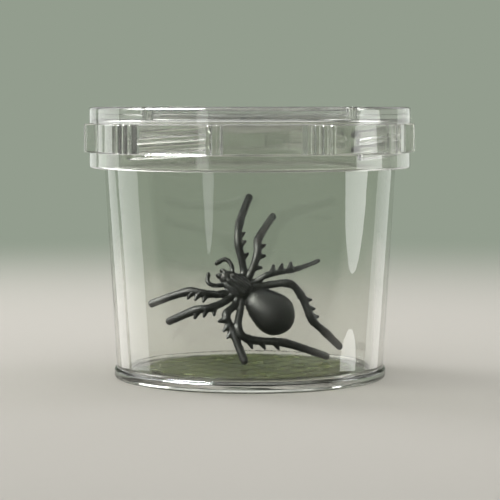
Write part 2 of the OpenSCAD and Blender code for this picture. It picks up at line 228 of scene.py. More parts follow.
class Finishes(bpy.types.PropertyGroup):
    """Colours of the finishes and of the studio."""

    clear: colour("Clear plastic", "Colour of the moulded jar and lid", "#F2F3EF")
    lens: colour("Lens", "Colour of the lens", "#FAFCFB")
    # The grid sheet's olive colour is painted: a reflection of green surroundings and shade seen through a
    # clear disc
    sheet: colour("Grid sheet", "Colour of the tinted sheet", "#484E20")
    line: colour("Grid lines", "Colour of the engraved lines", "#16170F")
    rubber: colour("Rubber", "Colour of the spider", "#090A0B")
    bloom: colour("Rubber bloom", "Colour of the spider's paler patches", "#141516")
    ground: colour("Ground", "Colour of the studio floor", "#C6C3BB")
    back: colour("Back", "Colour of the studio's far background", "#939D8E")
    room: colour("Room", "Colour of the room above the background", "#4A4E44")
    # The card is painted shade: a dark tone that the floor emits before the jar, seen only in reflections,
    # where no card stands
    painted_shade_card: colour("Card", "Colour of the dark card before the jar, seen only as a reflection", "#484C44")


# Modelling helpers


def deselect():
    """Leaves object mode with nothing selected."""
    if bpy.context.object is not None and bpy.context.object.mode != "OBJECT":
        bpy.ops.object.mode_set(mode="OBJECT")
    bpy.ops.object.select_all(action="DESELECT")


def pick(piece):
    """Makes one object the only one selected."""
    deselect()
    piece.select_set(True)
    bpy.context.view_layer.objects.active = piece


def chain(name, points):
    """Draws a chain of edges by extruding one vertex from point to point, and stays in edit mode."""
    deselect()
    bpy.ops.mesh.primitive_plane_add(size=MM, location=(0, 0, 0))
    piece = bpy.context.object
    piece.name = piece.data.name = name
    bpy.ops.object.mode_set(mode="EDIT")
    bpy.ops.mesh.select_mode(type="VERT")
    bpy.ops.mesh.merge(type="CENTER")
    bpy.ops.transform.translate(value=points[0])
    for before, here in zip(points, points[1:]):
        bpy.ops.mesh.extrude_region_move(TRANSFORM_OT_translate={"value": Vector(here) - Vector(before)})
    return piece


def face(name, points):
    """Draws a closed outline and fills it with one face, and stays in edit mode."""
    piece = chain(name, points + points[:1])
    bpy.ops.mesh.select_all(action="SELECT")
    bpy.ops.mesh.remove_doubles(threshold=SAME_SPOT)
    bpy.ops.mesh.edge_face_add()
    return piece


def rounded(corners, steps=5):
    """Points of an outline in r and z whose corners, given as (r, z, radius), are rounded off."""
    points = []
    for i, (r, z, radius) in enumerate(corners):
        here = Vector((r, z))
        if not radius:
            points.append(here)
            continue
        into = (Vector(corners[i - 1][:2]) - here).normalized()
        out = (Vector(corners[(i + 1) % len(corners)][:2]) - here).normalized()
        half = into.angle(out) / 2
        middle = here + (into + out).normalized() * radius / math.sin(half)
        start = here + into * radius / math.tan(half) - middle
        end = here + out * radius / math.tan(half) - middle
        sweep = start.angle_signed(end)
        for k in range(steps + 1):
            points.append(middle + Matrix.Rotation(-sweep * k / steps, 2) @ start)
    return points


def arc(middle, radius, start, end, steps):
    """Points in r and z on an arc, its angles from the level."""
    turns = (start + (end - start) * k / steps for k in range(steps + 1))
    return [Vector((middle[0] + radius * math.cos(t), middle[1] + radius * math.sin(t))) for t in turns]


def turned(name, outline, steps=192, closed=False):
    """Turns an outline in r and z about the axis into a closed solid."""
    points = [(r, 0, z) for r, z in outline]
    piece = chain(name, points + points[:1] if closed else points)
    bpy.ops.mesh.select_all(action="SELECT")
    bpy.ops.mesh.remove_doubles(threshold=SAME_SPOT)
    bpy.ops.mesh.spin(steps=steps, angle=TURN, center=(0, 0, 0), axis=(0, 0, 1))
    return tidied(piece)


def tidied(piece):
    """Merges doubles, turns all faces outwards and leaves edit mode."""
    bpy.ops.mesh.select_all(action="SELECT")
    bpy.ops.mesh.remove_doubles(threshold=2 * SAME_SPOT)
    bpy.ops.mesh.normals_make_consistent(inside=False)
    bpy.ops.object.mode_set(mode="OBJECT")
    return piece


def select_edges(piece, wanted):
    """Selects the edges whose two ends pass a test, and goes to edit mode."""
    pick(piece)
    bpy.ops.object.mode_set(mode="EDIT")
    bpy.ops.mesh.select_mode(type="EDGE")
    bpy.ops.mesh.select_all(action="DESELECT")
    bpy.ops.object.mode_set(mode="OBJECT")
    points = [v.co for v in piece.data.vertices]
    for edge in piece.data.edges:
        edge.select = wanted(*(points[i] for i in edge.vertices))
    bpy.ops.object.mode_set(mode="EDIT")


def prism(name, outline, low, high, edge):
    """Raises a closed outline in x and y from one height to another and bevels its two ends."""
    piece = face(name, [(x, y, low) for x, y in outline])
    bpy.ops.mesh.extrude_region_move(TRANSFORM_OT_translate={"value": (0, 0, high - low)})
    tidied(piece)
    select_edges(piece, lambda a, b: abs(a.z - b.z) < SAME_SPOT)
    bpy.ops.mesh.bevel(offset=edge, segments=3)
    return tidied(piece)


def turned_copy(piece, turn):
    """A copy of a piece, with its own mesh, turned about the axis."""
    pick(piece)
    bpy.ops.object.duplicate()
    copy = bpy.context.object
    copy.data.transform(Matrix.Rotation(turn, 4, "Z"))
    return copy


def joined(name, pieces):
    """Joins pieces into one object at the origin."""
    pick(pieces[0])
    for piece in pieces:
        piece.select_set(True)
    bpy.ops.object.join()
    whole = bpy.context.object
    whole.name = whole.data.name = name
    bpy.ops.object.transform_apply(location=True, rotation=True, scale=True)
    return whole


def ring(name, patterns, number, first):
    """Copies of the patterns, by turns, evenly round the axis from a first angle, joined into one object."""
    copies = [turned_copy(patterns[i % len(patterns)], first + i * TURN / number) for i in range(number)]
    for pattern in patterns:
        bpy.data.objects.remove(pattern)
    return joined(name, copies)


def modified(piece, kind, **settings):
    """Adds a modifier with its settings and applies it."""
    pick(piece)
    bpy.ops.object.modifier_add(type=kind)
    modifier = piece.modifiers[-1]
    for key, value in settings.items():
        setattr(modifier, key, value)
    bpy.ops.object.modifier_apply(modifier=modifier.name)


def cut_or_fused(piece, tool, operation):
    """Cuts or fuses a piece with a tool, which is then removed."""
    modified(piece, "BOOLEAN", operation=operation, object=tool, solver="EXACT")
    bpy.data.objects.remove(tool)


def finished(piece, node, material, smooth_degrees=35):
    """Gives a piece its material and its body, and lets it stand for its CAD node."""
    pick(piece)
    bpy.ops.object.shade_smooth_by_angle(angle=math.radians(smooth_degrees))
    modified(piece, "WEIGHTED_NORMAL", weight=100, keep_sharp=True)
    piece.data.materials.clear()
    piece.data.materials.append(material)
    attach(piece, BODY_OF[node])
    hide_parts(node)


# Finishes

POLYSTYRENE_IOR = 1.59
ACRYLIC_IOR = 1.49
GRID_TURN = math.radians(45)  # of the grid's lines against the jar's front


def linear(value):
    """An sRGB hex colour as linear red, green, blue and alpha."""
    parts = [int(value[i : i + 2], 16) / 255 for i in (1, 3, 5)]
    return [*(c / 12.92 if c <= 0.04045 else ((c + 0.055) / 1.055) ** 2.4 for c in parts), 1]


def add(tree, kind, settings=None, links=None, **attributes):
    """Adds a node with its attributes, the values of its sockets and the links into them."""
    node = tree.nodes.new(kind)
    for key, value in attributes.items():
        setattr(node, key, value)
    for key, value in (settings or {}).items():
        node.inputs[key].default_value = value
    for key, source in (links or {}).items():
        tree.links.new(source, node.inputs[key])
    return node


def new_material(name):
    """An empty node material and its tree."""
    material = bpy.data.materials.new(name)
    material.use_nodes = True
    material.node_tree.nodes.clear()
    return material, material.node_tree


def clear_plastic(name, tint, ior, roughness, wave_w, wave_h, clearness=1.0):
    """Clear moulded plastic. Slow waves of the mould's flow bend what is seen through it, and it lets the
    lamps through, so the jar's shadow stays light and the spider in it is lit."""
    ripple_w = 0.6 * MM
    ripple_share = 0.04  # height of the fine ripples, of the slow waves' height
    smooth_share, dull_share = 0.5, 2.2  # range of the roughness, of the value given
    material, tree = new_material(name)
    place = add(tree, "ShaderNodeTexCoord").outputs["Object"]
    flow = add(tree, "ShaderNodeTexNoise", {"Scale": 1 / wave_w, "Detail": 1.0}, {"Vector": place})
    ripple = add(tree, "ShaderNodeTexNoise", {"Scale": 1 / ripple_w, "Detail": 2.0}, {"Vector": place})
    height = add(
        tree,
        "ShaderNodeMath",
        {1: ripple_share},
        {0: ripple.outputs["Fac"], 2: flow.outputs["Fac"]},
        operation="MULTIPLY_ADD",
    )
    bump = add(
        tree, "ShaderNodeBump", {"Strength": 1.0, "Distance": wave_h}, {"Height": height.outputs["Value"]}
    )
    smear = add(
        tree,
        "ShaderNodeMapRange",
        {"To Min": roughness * smooth_share, "To Max": roughness * dull_share},
        {"Value": ripple.outputs["Fac"]},
    )
    shader = add(
        tree,
        "ShaderNodeBsdfPrincipled",
        {"Base Color": tint, "IOR": ior, "Transmission Weight": clearness},
        {"Normal": bump.outputs["Normal"], "Roughness": smear.outputs["Result"]},
    )
    lamps = add(tree, "ShaderNodeBsdfTransparent", {"Color": tint})
    path = add(tree, "ShaderNodeLightPath")
    through = add(
        tree,
        "ShaderNodeMixShader",
        None,
        {0: path.outputs["Is Shadow Ray"], 1: shader.outputs["BSDF"], 2: lamps.outputs["BSDF"]},
    )
    add(tree, "ShaderNodeOutputMaterial", None, {"Surface": through.outputs["Shader"]})
    return material


def sheet_with_painted_reflection(sizes, tones):
    """Clear acrylic with a cloudy gloss and inked engraved lines, which stay dark from every side. Its olive
    colour is a painted reflection of green surroundings and painted shade seen through the disc.
    """
    cloud_w = 5 * MM
    material, tree = new_material("acrylic_engraved_painted_reflection")
    place = add(tree, "ShaderNodeTexCoord").outputs["Object"]
    turn = add(tree, "ShaderNodeMapping", {"Rotation": (0, 0, GRID_TURN)}, {"Vector": place})
    axes = add(tree, "ShaderNodeSeparateXYZ", None, {"Vector": turn.outputs["Vector"]})
    lines = []
    for axis in "XY":
        cell = add(
            tree, "ShaderNodeMath", {1: sizes.pitch / 2}, {0: axes.outputs[axis]}, operation="PINGPONG"
        )
        near = add(
            tree, "ShaderNodeMath", {1: sizes.line_w / 2}, {0: cell.outputs["Value"]}, operation="LESS_THAN"
        )
        lines.append(near.outputs["Value"])
    ink = add(tree, "ShaderNodeMath", None, {0: lines[0], 1: lines[1]}, operation="MAXIMUM")
    cloud = add(tree, "ShaderNodeTexNoise", {"Scale": 1 / cloud_w, "Detail": 3.0}, {"Vector": place})
    rough = add(tree, "ShaderNodeMapRange", {"To Min": 0.16, "To Max": 0.34}, {"Value": cloud.outputs["Fac"]})
    # Painted reflection and shade: the olive base colour stands in for green surroundings mirrored in the
    # clear disc and shade seen through it
    sheet = add(
        tree,
        "ShaderNodeBsdfPrincipled",
        {
            "Base Color": linear(tones.sheet),
            "IOR": ACRYLIC_IOR,
            "Transmission Weight": 0.3,
            "Specular IOR Level": 0.1,
        },
        {"Roughness": rough.outputs["Result"]},
    )
    inked = add(
        tree,
        "ShaderNodeBsdfPrincipled",
        {"Base Color": linear(tones.line), "Roughness": 0.5, "IOR": 1.5, "Specular IOR Level": 0.05},
    )
    mix = add(
        tree,
        "ShaderNodeMixShader",
        None,
        {0: ink.outputs["Value"], 1: sheet.outputs["BSDF"], 2: inked.outputs["BSDF"]},
    )
    add(tree, "ShaderNodeOutputMaterial", None, {"Surface": mix.outputs["Shader"]})
    return material


def moulded_rubber(tones):
    """Soft black rubber from a polished mould: a dull skin with a fine grain, and a soft sheen in patches."""
    grain_w, grain_h = 0.35 * MM, 0.06 * MM
    patch_w = 3 * MM
    material, tree = new_material("rubber_moulded_black")
    place = add(tree, "ShaderNodeTexCoord").outputs["Object"]
    grain = add(tree, "ShaderNodeTexNoise", {"Scale": 1 / grain_w, "Detail": 4.0}, {"Vector": place})
    patch = add(tree, "ShaderNodeTexNoise", {"Scale": 1 / patch_w, "Detail": 2.0}, {"Vector": place})
    tone = add(
        tree,
        "ShaderNodeMix",
        {"A": linear(tones.rubber), "B": linear(tones.bloom)},
        {"Factor": patch.outputs["Fac"]},
        data_type="RGBA",
    )
    shine = add(tree, "ShaderNodeMapRange", {"To Min": 0.3, "To Max": 0.46}, {"Value": patch.outputs["Fac"]})
    bump = add(
        tree, "ShaderNodeBump", {"Strength": 0.5, "Distance": grain_h}, {"Height": grain.outputs["Fac"]}
    )
    shader = add(
        tree,
        "ShaderNodeBsdfPrincipled",
        {"IOR": 1.52, "Specular IOR Level": 0.18},
        {
            "Roughness": shine.outputs["Result"],
            "Normal": bump.outputs["Normal"],
            "Base Color": tone.outputs[2],
        },
    )
    add(tree, "ShaderNodeOutputMaterial", None, {"Surface": shader.outputs["BSDF"]})
    return material


# The jar and its thread

RUN_OUT_SHARE = 0.12  # of a ridge's arc, over which each of its ends runs out into the wall
END_OUT_SHARE = 0.04  # of a ridge's reach out of the wall, that is left at its very ends
END_H_SHARE = 0.6  # of a ridge's height, that is left at its very ends


def ridge(thread, wall_r, crest_r, z):
    """One thread ridge on a wall, climbing with the thread's lead, its ends run out into the wall."""
    toward = 1 if crest_r > wall_r else -1
    root_r = wall_r - toward * thread.root
    lower = [(root_r, -thread.foot_h / 2), (wall_r, -thread.foot_h / 2), (crest_r, -thread.crest_h / 2)]
    upper = [(r, -h) for r, h in reversed(lower)]
    piece = face("ridge", [(r, 0, h) for r, h in lower + upper])
    bpy.ops.mesh.spin(steps=28, angle=thread.arc, center=(0, 0, 0), axis=(0, 0, 1))
    tidied(piece)
    lead = thread.pitch * thread.starts
    slack, same_angle = 0.02 * MM, 1e-3
    for vertex in piece.data.vertices:
        x, y, h = vertex.co
        along = abs(math.atan2(y, x)) / thread.arc - 0.5
        inward = min(1.0, max(0.0, (0.5 - abs(along)) / RUN_OUT_SHARE))
        full = math.sqrt(1 - (1 - inward) ** 2)
        r = math.hypot(x, y)
        if toward * (r - wall_r) > slack:
            r = wall_r + (r - wall_r) * (END_OUT_SHARE + (1 - END_OUT_SHARE) * full)
        h *= END_H_SHARE + (1 - END_H_SHARE) * full
        swing = along * thread.arc
        vertex.co = (r * math.cos(swing), r * math.sin(swing), z + h + lead * swing / TURN)

    def along_crest(a, b):
        """Whether an edge from a to b runs along the crest and not across it."""
        on_crest = all(abs(math.hypot(end.x, end.y) - crest_r) < slack for end in (a, b))
        return on_crest and abs(math.atan2(a.y, a.x) - math.atan2(b.y, b.x)) > same_angle

    select_edges(piece, along_crest)
    bpy.ops.mesh.bevel(offset=thread.edge, segments=2)
    return tidied(piece)


def ridges(thread, wall_r, crest_r, top_z):
    """All ridges of one wall: a row under a row at each of the thread's starts."""
    rows = []
    for row in range(thread.rows):
        pattern = ridge(thread, wall_r, crest_r, top_z - row * thread.pitch)
        rows.append(ring("row_of_ridges", [pattern], thread.starts, thread.turn))
    return joined("ridges", rows)


class BUGJAR_OT_jar(bpy.types.Operator):
    """Turn the jar from its section and fuse the ridges of the thread to its neck"""

    bl_idname = "bugjar.jar"
    bl_label = "Jar"

    def execute(self, context):
        s, thread = context.scene.bugjar_jar, context.scene.bugjar_thread
        foot_r = s.base_r + s.foot_out
        slant = math.atan((s.neck_r - s.base_r) / (s.neck_z - s.foot_h))
        inner_r, inner_base_r = s.neck_r - s.wall, s.base_r - s.wall
        floor_r = inner_base_r - (s.foot_h - s.floor) * math.tan(slant)
        cove_r = floor_r + s.cove * math.tan(slant) - s.cove / math.cos(slant)
        seat_z = s.floor - s.seat_t
        corners = [
            (0, s.hollow, 0),
            (foot_r - s.stand_w - s.hollow, s.hollow, s.edge),
            (foot_r - s.stand_w, 0, s.edge / 2),
            (foot_r, 0, s.edge),
            (foot_r, s.foot_h, s.edge),
            (s.base_r, s.foot_h, s.edge / 2),
            (s.neck_r + s.shoulder, s.neck_z + s.shoulder / 2, s.shoulder / 2),
            (s.neck_r, s.neck_z + s.shoulder, s.edge / 2),
            (s.neck_r, s.rim_z, s.rim_edge),
            (inner_r, s.rim_z, s.rim_edge),
            (inner_r, s.neck_z, s.edge),
        ]
        # The last corner gives the wall's inner face its slant, and the cove takes its place
        outline = rounded(corners + [(inner_base_r, s.foot_h, 0)])[:-1]
        outline += arc((cove_r, s.floor + s.cove), s.cove, -slant, -math.pi / 2, steps=12)
        outline += [Vector((s.seat_r, s.floor)), Vector((s.seat_r, seat_z)), Vector((0, seat_z))]
        jar = turned("jar", outline)
        cut_or_fused(jar, ridges(thread, s.neck_r, s.neck_r + thread.out, thread.neck_z), "UNION")
        # Glossy and clear, with slow waves that bend the edges seen through it
        plastic = clear_plastic(
            "polystyrene_moulded_clear",
            linear(context.scene.bugjar_finishes.clear),
            POLYSTYRENE_IOR,
            roughness=0.015,
            wave_w=9 * MM,
            wave_h=0.05 * MM,
        )
        finished(jar, "jar_body", plastic)
        return {"FINISHED"}


# The lid and its lens


def grip(lid, ribs, low, high):
    """One grip of the lid: a pad with upright ribs on its face."""
    rib_steps = 10
    face_r = lid.flange_r + lid.grip_out - lid.rib_r
    half = (ribs - 1) * lid.rib_pitch / 2 + lid.rib_r
    root_r = lid.skirt_r + lid.grip_root
    outline = [Vector((root_r, -half))]
    for i in range(ribs):
        swing = (i - (ribs - 1) / 2) * lid.rib_pitch / (face_r + lid.rib_r)
        for k in range(rib_steps + 1):
            t = math.pi * (k / rib_steps - 0.5)
            spot = Vector((face_r, 0)) + lid.rib_r * Vector((math.cos(t), math.sin(t)))
            outline.append(Matrix.Rotation(swing, 2) @ spot)
    outline.append(Vector((root_r, half)))
    return prism("grip", outline, low, high, lid.grip_edge)


class BUGJAR_OT_lid(bpy.types.Operator):
    """Turn the lid from its section, add its grips and the ridges of its thread, and bore its vents"""

    bl_idname = "bugjar.lid"
    bl_label = "Lid"

    def execute(self, context):
        s, thread, lens = context.scene.bugjar_lid, context.scene.bugjar_thread, context.scene.bugjar_lens
        top = CAD_BOX[1][2]
        low, deck = top - s.height, top - s.rim_up
        under = deck - s.top
        band_low, band_high, band_r = low + s.lower_h, top - s.upper_h, s.flange_r - s.band_in
        hole_r = lens.face_r + lens.gap
        seat_r, seat_z = hole_r + lens.flange_w, deck - lens.flange_t - lens.gap
        small_edge, large_edge, low_edge = s.edge / 2, s.edge * 1.4, s.edge * 1.2
        outline = rounded(
            [
                (hole_r, under, small_edge),
                (hole_r, seat_z, small_edge / 2),
                (seat_r, seat_z, small_edge / 2),
                (seat_r, deck, s.edge / 3),
                (s.flange_r - s.rim_w - s.rim_up, deck, s.edge),
                (s.flange_r - s.rim_w, top, s.edge),
                (s.flange_r, top, large_edge),
                (s.flange_r, band_high, small_edge),
                (band_r, band_high, small_edge),
                (band_r, band_low, small_edge),
                (s.flange_r, band_low, small_edge),
                (s.flange_r, low, low_edge),
                (s.skirt_r, low, s.edge),
                (s.skirt_r, under, large_edge),
            ]
        )
        lid = turned("lid_shell", outline, closed=True)
        bite = 0.02 * MM  # how far a grip reaches into each flange
        grips = [grip(s, ribs, band_low - bite, band_high + bite) for ribs in (s.wide_ribs, s.narrow_ribs)]
        cut_or_fused(lid, ring("grips", grips, s.grips, s.grip_turn), "UNION")
        inner = ridges(thread, s.skirt_r, s.skirt_r - thread.out, thread.neck_z - thread.lid_drop)
        cut_or_fused(lid, inner, "UNION")
        bpy.ops.mesh.primitive_cylinder_add(
            vertices=32, radius=s.vent_d / 2, depth=3 * s.top, location=(s.vent_ring_r, 0, deck - s.top / 2)
        )
        vent = bpy.context.object
        bpy.ops.object.transform_apply(location=True, rotation=True, scale=True)
        cut_or_fused(lid, ring("vents", [vent], s.vents, TURN / s.vents / 2), "DIFFERENCE")
        lid.name = lid.data.name = "screw_lid"
        # A little duller and wavier than the jar
        plastic = clear_plastic(
            "polystyrene_moulded_lid",
            linear(context.scene.bugjar_finishes.clear),
            POLYSTYRENE_IOR,
            roughness=0.05,
            wave_w=7 * MM,
            wave_h=0.06 * MM,
            clearness=0.95,
        )
        finished(lid, "lid", plastic)
        return {"FINISHED"}


class BUGJAR_OT_lens(bpy.types.Operator):
    """Turn the lens, flat above and curved below"""

    bl_idname = "bugjar.lens"
    bl_label = "Magnifying lens"

    def execute(self, context):
        s = context.scene.bugjar_lens
        deck = CAD_BOX[1][2] - context.scene.bugjar_lid.rim_up
        rim_z, flange_z, flange_r = deck - s.edge, deck - s.flange_t, s.face_r + s.flange_w
        sphere_r = (s.face_r**2 + s.bulge**2) / (2 * s.bulge)
        half = math.asin(s.face_r / sphere_r)
        middle = (0, rim_z - s.bulge + sphere_r)
        curve = arc(middle, sphere_r, -math.pi / 2 + half, -math.pi / 2, steps=40)
        outline = rounded(
            [
                (0, deck, 0),
                (flange_r, deck, s.flange_edge),
                (flange_r, flange_z, s.flange_edge),
                (s.face_r, flange_z, s.step_edge),
                (s.face_r, rim_z, 0),
            ],
            steps=3,
        )
        # The curve starts at the outline's last corner
        lens = turned("lens", outline[:-1] + curve, steps=224)
        # Polished: glossier than the mouldings, with hardly a wave
        plastic = clear_plastic(
            "acrylic_polished_lens",
            linear(context.scene.bugjar_finishes.lens),
            ACRYLIC_IOR,
            roughness=0.006,
            wave_w=14 * MM,
            wave_h=0.004 * MM,
            clearness=0.97,
        )
        finished(lens, "magnifier_lens", plastic)
        return {"FINISHED"}


# The measuring grid


def line_cutters(s, turn, top):
    """Bars that cut the lines of one direction, joined into one object."""
    each_way = int(s.radius / s.pitch)
    past_edge = 2.2 * s.radius
    cutters = []
    for i in range(-each_way, each_way + 1):
        deselect()
        bpy.ops.mesh.primitive_cube_add(
            size=1, location=(i * s.pitch, 0, top), scale=(s.line_w, past_edge, 2 * s.line_t)
        )
        cutter = bpy.context.object
        bpy.ops.object.transform_apply(location=True, rotation=True, scale=True)
        cutter.data.transform(Matrix.Rotation(turn, 4, "Z"))
        cutters.append(cutter)
    return joined("lines", cutters)


class BUGJAR_OT_grid(bpy.types.Operator):
    """Turn the disc on the jar's floor and engrave its measuring lines"""

    bl_idname = "bugjar.grid"
    bl_label = "Measuring grid"

    def execute(self, context):
        s, jar = context.scene.bugjar_grid, context.scene.bugjar_jar
        seat_z = jar.floor - jar.seat_t
        low, top = seat_z + s.air, seat_z + s.thickness
        corners = [(0, low, 0), (s.radius, low, s.lower_edge), (s.radius, top, s.upper_edge), (0, top, 0)]
        disc = turned("grid_disc", rounded(corners, steps=3))
        for turn in (GRID_TURN, GRID_TURN + math.pi / 2):
            cut_or_fused(disc, line_cutters(s, turn, top), "DIFFERENCE")
        finished(disc, "measuring_grid", sheet_with_painted_reflection(s, context.scene.bugjar_finishes))
        return {"FINISHED"}


# The spider

# The spider is made flat with its head towards +X. It is then turned to its heading, tipped up to lean
# and turned about the upright axis. Its body is turned a little on its legs.
HEADING = math.radians(135)
LEAN = math.radians(70)
YAW = math.radians(15)
BODY_TURN = math.radians(5)
PLACE_SHARES = (-0.108, 0.167)  # its place in x and y, of a leg's length


class Leg(NamedTuple):
    """One leg, its lengths and heights as shares of the longest legs' length."""

    side: int  # 1 for the spider's left and -1 for its right
    turns: tuple  # direction of each stretch, in degrees from straight ahead
    length_shares: tuple  # of each stretch
    height_shares: tuple  # of each stretch's end
    barb_shares: tuple  # places of the first and the last barb along the leg
    barb_side: int  # 1 for barbs on the leg's front and -1 for barbs on its back
    tip_share: float = 1  # thickness at the tip, of the usual one


LEGS = [
    Leg(-1, (35, 57, 74), (0.25, 0.19, 0.355), (0.06, 0.02, -0.21), (0.36, 0.56), -1),
    Leg(-1, (68, 58, 84), (0.19, 0.165, 0.35), (0.06, 0.02, -0.21), (0.35, 0.6), -1),
    Leg(-1, (112, 122, 112), (0.12, 0.265, 0.34), (0.06, 0, -0.21), (0.54, 0.71), 1, tip_share=0.55),
    Leg(
        -1,
        (134, 180, 201, 168, 158),
        (0.245, 0.155, 0.23, 0.19, 0.2),
        (0.06, 0.04, 0, -0.105, -0.3),
        (0.53, 0.64),
        1,
    ),
    Leg(1, (49, 31, 53), (0.185, 0.145, 0.29), (0.06, 0.02, -0.21), (0.48, 0.68), -1),
    Leg(1, (73, 51, 55), (0.185, 0.155, 0.19), (0.06, 0.02, -0.21), (0.49, 0.71), -1),
    Leg(1, (91, 154, 152), (0.15, 0.15, 0.28), (0.06, 0.04, 0.04), (0.58, 0.75), 1),
    Leg(1, (119, 178, 222, 209), (0.19, 0.14, 0.34, 0.42), (0.06, 0.04, -0.04, -0.125), (0.6, 0.75), 1),
]
LEG_STEPS = 7  # rings from joint to joint of a leg
JOINT_REACH = 1.6  # how many rings a joint's swelling reaches
JOINT_SWELL_SHARE = 0.16
TIP_ANGLES = (0.4, 0.8, 1.15, 1.45)  # of the rings that round off a limb's tip
BARBS = 3
BARB_STEPS = 3  # steps from joint to joint of the line that the barbs stand on
BARB_RAKE_SHARE = 0.55
BARB_POINT_SHARE = 0.25

# Shares of the front body. Places and half sizes are along, across and up, as shares of its length, its
# width and its width again, and the palps' points are shares of its length.
HIP_SHARES = (0.17, -0.05, -0.3, -0.5)
HIP_ACROSS_SHARE = 0.66
ROOT_SHARES = (0.5, 0.25)  # of a hip's place along and across, where its leg starts inside the body
THORAX_SHARES = ((0, 0, 0), (0.5, 0.5, 0.35))
HEAD_SHARES = ((0.42, 0, 0), (0.2, 0.3, 0.29))
BACK_RIDGE_SHARES = ((-0.3, 0.145, 0.287), (0, 0.145, 0.287), (0.3, 0.145, 0.287))
BACK_RIDGE_RADII = (0.62 * MM, 0.5 * MM)
PALP_SHARES = ((0.3, 0.18, 0.02), (0.56, 0.42, 0.01), (0.78, 0.44, -0.04), (0.9, 0.22, -0.1))
PALP_R_SHARE = 0.6
JAW_SHARES = (0.6, 0.13, 0)
JAW_HALF_SIZES = (0.9 * MM, 0.55 * MM, 0.9 * MM)
EYE_SHARES = ((0.5, 0.1, 0.22), (0.53, 0.04, 0.22))
EYE_R = 0.24 * MM

WAIST_SHARE = 0.42  # of the front body's length, from its middle back to the waist
EGG_MIDDLE_SHARE = 0.44  # of the abdomen's length, from the waist back to its middle
EGG_HALF_SHARE = 0.48  # of the abdomen's length, for half of it
EGG_HEIGHT_SHARE = 0.4  # of the abdomen's width, for half its height
EGG_SWELL_SHARE = 0.2  # how much fuller the abdomen is behind its middle
EGG_SWELL_PACE = 1.15  # above 1, so that the swelling ends a little behind the waist
EGG_PINCH_SHARE = 0.18  # how much the abdomen is drawn in at the waist


def smooth_line(points, steps):
    """A smooth line through the points."""
    line = []
    for i in range(len(points) - 1):
        a, b, c, d = (points[min(max(k, 0), len(points) - 1)] for k in (i - 1, i, i + 1, i + 2))
        for k in range(steps):
            t = k / steps
            bend = (2 * a - 5 * b + 4 * c - d) * t**2
            sway = (3 * b - a - 3 * c + d) * t**3
            line.append(0.5 * (2 * b + (c - a) * t + bend + sway))
    return line + [points[-1]]


def limb(name, line, from_r, to_r, joints=()):
    """A round limb along a line, thinning to a rounded tip, a little thicker at its joints."""
    ahead = (line[-1] - line[-2]).normalized()
    tips = [line[-1] + ahead * to_r * math.sin(a) for a in TIP_ANGLES]
    piece = chain(name, line + tips)
    bpy.ops.object.mode_set(mode="OBJECT")
    pick(piece)
    bpy.ops.object.convert(target="CURVE")
    curve = bpy.context.object.data
    curve.bevel_depth = 1
    curve.bevel_resolution = 5
    curve.use_fill_caps = True
    points = list(curve.splines[0].points)
    if (points[-1].co.xyz - line[0]).length < (points[0].co.xyz - line[0]).length:
        points.reverse()
    last = len(line) - 1
    radii = [from_r + (to_r - from_r) * k / last for k in range(len(line))]
    radii += [to_r * math.cos(a) for a in TIP_ANGLES]
    for k, (point, radius) in enumerate(zip(points, radii)):
        swell = sum(math.exp(-(((k - j) / JOINT_REACH) ** 2)) for j in joints)
        point.radius = radius * (1 + JOINT_SWELL_SHARE * swell)
    bpy.ops.object.convert(target="MESH")
    return bpy.context.object


def spike(foot, tip, radius):
    """A raked barb: a cone from a leg's middle to its point."""
    deselect()
    reach = tip - foot
    bpy.ops.mesh.primitive_cone_add(
        vertices=10,
        radius1=radius,
        radius2=radius * BARB_POINT_SHARE,
        depth=reach.length,
        location=(foot + tip) / 2,
        rotation=reach.to_track_quat("Z", "Y").to_euler(),
    )
    return bpy.context.object


def ball(middle, half_sizes, rings=24):
    """A round part of the body."""
    deselect()
    bpy.ops.mesh.primitive_uv_sphere_add(
        segments=2 * rings, ring_count=rings, radius=1, location=middle, scale=half_sizes
    )
    bpy.ops.object.transform_apply(location=True, rotation=True, scale=True)
    return bpy.context.object


def leg_points(s, i):
    """Root, hip and the end of each stretch of a leg, with the spider flat and its head towards +X."""
    leg = LEGS[i]
    hip = Vector((s.thorax * HIP_SHARES[i % len(HIP_SHARES)], s.thorax_w * HIP_ACROSS_SHARE))
    root = Vector((hip.x * ROOT_SHARES[0], leg.side * hip.y * ROOT_SHARES[1], 0))
    points = [root, Vector((hip.x, leg.side * hip.y, 0))]
    reach = hip.copy()
    for turn, share, height_share in zip(leg.turns, leg.length_shares, leg.height_shares):
        way = math.radians(turn)
        reach = reach + s.leg * share * Vector((math.cos(way), math.sin(way)))
        points.append(Vector((reach.x, leg.side * reach.y, s.leg * height_share)))
    return points


def barbs(s, leg, line):
    """The raked barbs of a leg, evenly spaced on one side of a line along it."""
    made = []
    first, last = leg.barb_shares
    for k in range(BARBS):
        share = first + (last - first) * k / (BARBS - 1)
        spot = share * (len(line) - 1)
        i = int(spot)
        foot = line[i].lerp(line[i + 1], spot - i)
        ahead = (line[i + 1] - line[i - 1]).normalized()
        outward = ahead.cross(Vector((0, 0, 1))).normalized() * leg.side * leg.barb_side
        tip = foot + (s.leg_r + s.barb) * (outward + BARB_RAKE_SHARE * ahead).normalized()
        made.append(spike(foot, tip, s.barb_r))
    return made


